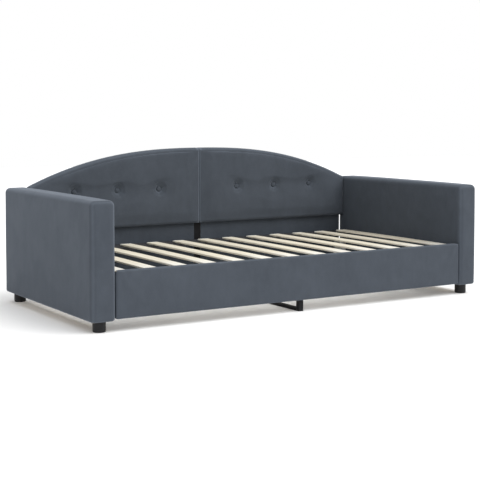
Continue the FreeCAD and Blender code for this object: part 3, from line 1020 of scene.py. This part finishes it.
def make_slat_staples():
    """Two staples where each ribbon crosses a slat, seen from below."""
    sizes = bpy.context.scene.daybed_sizes
    spots = []
    for ribbon in ("front_ribbon", "back_ribbon"):
        low, high = node_box(ribbon)
        for name in SLAT_NAMES:
            slat_low, slat_high = node_box(name)
            for share in (0.25, 0.75):
                x = slat_low[0] + share * (slat_high[0] - slat_low[0])
                spots.append((x, (low[1] + high[1]) / 2, low[2] - sizes.staple_wire / 2))
    size = (sizes.staple_wire, sizes.staple_width, sizes.staple_wire)
    staples = block_recipe().grow("ribbon_staples", "zinc", {"Size": size}, spots, smooth=False)
    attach(staples, "slatted_base")


REAR_SPACING = 38 * MM
REAR_INSET = 12 * MM
# The lower row leaves the middle free, where the post stands.
POST_ROOM = 40 * MM


def make_rear_staples():
    """Staples round the edge of the rear cloth."""
    sizes = bpy.context.scene.daybed_sizes
    flat, upright = [], []
    for side in SIDES:
        cloth = side + "_back_rear_cloth"
        low, high = node_box(cloth)
        behind = high[1] + sizes.staple_wire / 2
        start, end = low[0] + REAR_INSET, high[0] - REAR_INSET
        for x in np.arange(start, end, REAR_SPACING):
            flat.append((x, behind, arch_top(x, cloth) - REAR_INSET))
            if abs(x) > POST_ROOM:
                flat.append((x, behind, low[2] + REAR_INSET))
        outer = start if side == "left" else end
        top = arch_top(outer, cloth) - 2 * REAR_INSET
        for z in np.arange(low[2] + 2 * REAR_INSET, top, REAR_SPACING):
            upright.append((outer, behind, z))
    recipe = block_recipe()
    wire, width = sizes.staple_wire, sizes.staple_width
    for name, size, spots in (("rear_staples_level", (width, wire, wire), flat),
                              ("rear_staples_upright", (wire, wire, width), upright)):
        staples = recipe.grow(name, "zinc", {"Size": size}, spots, smooth=False)
        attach(staples, "bed_frame")


def make_buttons():
    """Velvet-covered buttons, sunk in the pads."""
    centres, radius = button_places()
    low, high = node_box("back_buttons")
    points = [(sign * x, high[1] - 2 * MM, z) for sign in (-1, 1) for x, z in centres]
    values = {"Radius": float(radius), "Height": float(high[1] - low[1])}
    buttons = button_recipe().grow("velvet_buttons", "velvet", values, points)
    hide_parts("back_buttons")
    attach(buttons, "bed_frame")


def finish_frame_nodes():
    """Give every frame node that stays its own finish."""
    slots = {part["node"]: part["material_slot"] for part in frame["record"]["subparts"]}
    for name, node in frame["nodes"].items():
        node.data.materials.clear()
        node.data.materials.append(paint_for(slots[name]))


# -------- stage

def aim(thing, target):
    """Turn a lamp towards a place."""
    thing.rotation_euler = (Vector(target) - thing.location).to_track_quat("-Z", "Y").to_euler()


def add_light(name, kind, place, target, power):
    """Place a lamp; gives its data, for the settings of its kind."""
    lamp = bpy.data.lights.new(name, kind)
    lamp.energy = power
    light = bpy.data.objects.new(name, lamp)
    bpy.context.scene.collection.objects.link(light)
    light.location = place
    aim(light, target)
    return lamp


FLOOR_REACH = 14.0


def make_stage():
    """Pale floor, soft light and the camera."""
    low, high = CAD_BOX
    corners = [(x * FLOOR_REACH, y * FLOOR_REACH, 0)
               for x, y in ((-1, -1), (1, -1), (1, 1), (-1, 1))]
    floor = piece_from("floor", corners, [[0, 1, 2, 3]], "floor")
    fill = add_light("left_fill", "AREA", (-4.6, -1.6, 1.1), (low + high) / 2, 8)
    fill.shape = "DISK"
    fill.size = 1.6
    key = add_light("key_light", "SUN", (2.2, -2.6, 4.2), (0, 0, 0), 2.3)
    key.angle = math.radians(60)
    make_room()
    bpy.context.scene.view_settings.view_transform = "Standard"
    make_camera()


ROOM_LIGHT, ROOM_SEEN = 0.88, 1.0


def make_room():
    """White surroundings that light the bed a little less than they show."""
    world = bpy.data.worlds.new("soft_room")
    world.use_nodes = True
    tree = world.node_tree
    back = tree.nodes["Background"]
    back.inputs["Color"].default_value = (1.0, 1.0, 1.0, 1.0)
    seen = tree.nodes.new("ShaderNodeLightPath")
    level = tree.nodes.new("ShaderNodeMapRange")
    level.inputs["To Min"].default_value = ROOM_LIGHT
    level.inputs["To Max"].default_value = ROOM_SEEN
    tree.links.new(seen.outputs["Is Camera Ray"], level.inputs["Value"])
    tree.links.new(level.outputs[0], back.inputs["Strength"])
    bpy.context.scene.world = world


def make_camera():
    """Eye-level view past the left arm, nearly level, so uprights stay upright."""
    data = bpy.data.cameras.new("view")
    data.sensor_width = 36.0
    data.lens = 85.95
    data.shift_y = -0.12
    data.clip_end = 60.0
    camera = bpy.data.objects.new("view", data)
    bpy.context.scene.collection.objects.link(camera)
    camera.location = (-3.1831, -5.1213, 0.9755)
    camera.rotation_euler = (math.radians(90 - 3.491), 0.0, math.radians(-31.592))
    bpy.context.scene.camera = camera


# -------- operators and panel

class DAYBED_OT_stage(bpy.types.Operator):
    """Make the floor, the lights and the camera"""
    bl_idname = "daybed.stage"
    bl_label = "Stage"

    def execute(self, context):
        make_stage()
        return {"FINISHED"}


class DAYBED_OT_frame_finish(bpy.types.Operator):
    """Paint the boards, ledges, feet, steel and screws of the frame"""
    bl_idname = "daybed.frame_finish"
    bl_label = "Frame finishes"

    def execute(self, context):
        finish_frame_nodes()
        return {"FINISHED"}


class DAYBED_OT_arms(bpy.types.Operator):
    """Make the two padded velvet arms"""
    bl_idname = "daybed.arms"
    bl_label = "Arms"

    def execute(self, context):
        for side in SIDES:
            make_arm(side)
        return {"FINISHED"}


class DAYBED_OT_rail(bpy.types.Operator):
    """Make the front rail's velvet cover"""
    bl_idname = "daybed.rail"
    bl_label = "Front rail"

    def execute(self, context):
        make_rail()
        return {"FINISHED"}


class DAYBED_OT_back(bpy.types.Operator):
    """Make the two tufted back pads and their buttons"""
    bl_idname = "daybed.back"
    bl_label = "Back pads and buttons"

    def execute(self, context):
        shape = make_pad_shape()
        for side in SIDES:
            make_pad(side, shape)
        bpy.data.objects.remove(shape)
        make_buttons()
        return {"FINISHED"}


class DAYBED_OT_slats(bpy.types.Operator):
    """Make the slats of the loose base"""
    bl_idname = "daybed.slats"
    bl_label = "Slats"

    def execute(self, context):
        make_slats()
        return {"FINISHED"}


class DAYBED_OT_staples(bpy.types.Operator):
    """Make the staples under the slats and round the rear cloth"""
    bl_idname = "daybed.staples"
    bl_label = "Staples"

    def execute(self, context):
        make_slat_staples()
        make_rear_staples()
        return {"FINISHED"}


OPERATORS = (DAYBED_OT_stage, DAYBED_OT_frame_finish, DAYBED_OT_arms, DAYBED_OT_rail,
             DAYBED_OT_back, DAYBED_OT_slats, DAYBED_OT_staples)


class DAYBED_PT_panel(bpy.types.Panel):
    """Sidebar panel with the daybed's steps, sizes and colours"""
    bl_idname = "DAYBED_PT_panel"
    bl_label = "Daybed"
    bl_space_type = "VIEW_3D"
    bl_region_type = "UI"
    bl_category = "Daybed"

    def draw(self, context):
        for group in (context.scene.daybed_sizes, context.scene.daybed_colours):
            column = self.layout.column()
            for name in group.bl_rna.properties.keys():
                if name not in ("rna_type", "name"):
                    column.prop(group, name)
        for operator in OPERATORS:
            self.layout.operator(operator.bl_idname)


CLASSES = (DaybedSizes, DaybedColours, *OPERATORS, DAYBED_PT_panel)


def register():
    for cls in CLASSES:
        bpy.utils.register_class(cls)
    bpy.types.Scene.daybed_sizes = bpy.props.PointerProperty(type=DaybedSizes)
    bpy.types.Scene.daybed_colours = bpy.props.PointerProperty(type=DaybedColours)


def unregister():
    del bpy.types.Scene.daybed_colours
    del bpy.types.Scene.daybed_sizes
    for cls in reversed(CLASSES):
        bpy.utils.unregister_class(cls)


def main():
    """Make the daybed."""
    register()
    bpy.ops.daybed.stage()
    bpy.ops.daybed.frame_finish()
    bpy.ops.daybed.arms()
    bpy.ops.daybed.rail()
    bpy.ops.daybed.back()
    bpy.ops.daybed.slats()
    bpy.ops.daybed.staples()


if __name__ == "__main__":
    main()
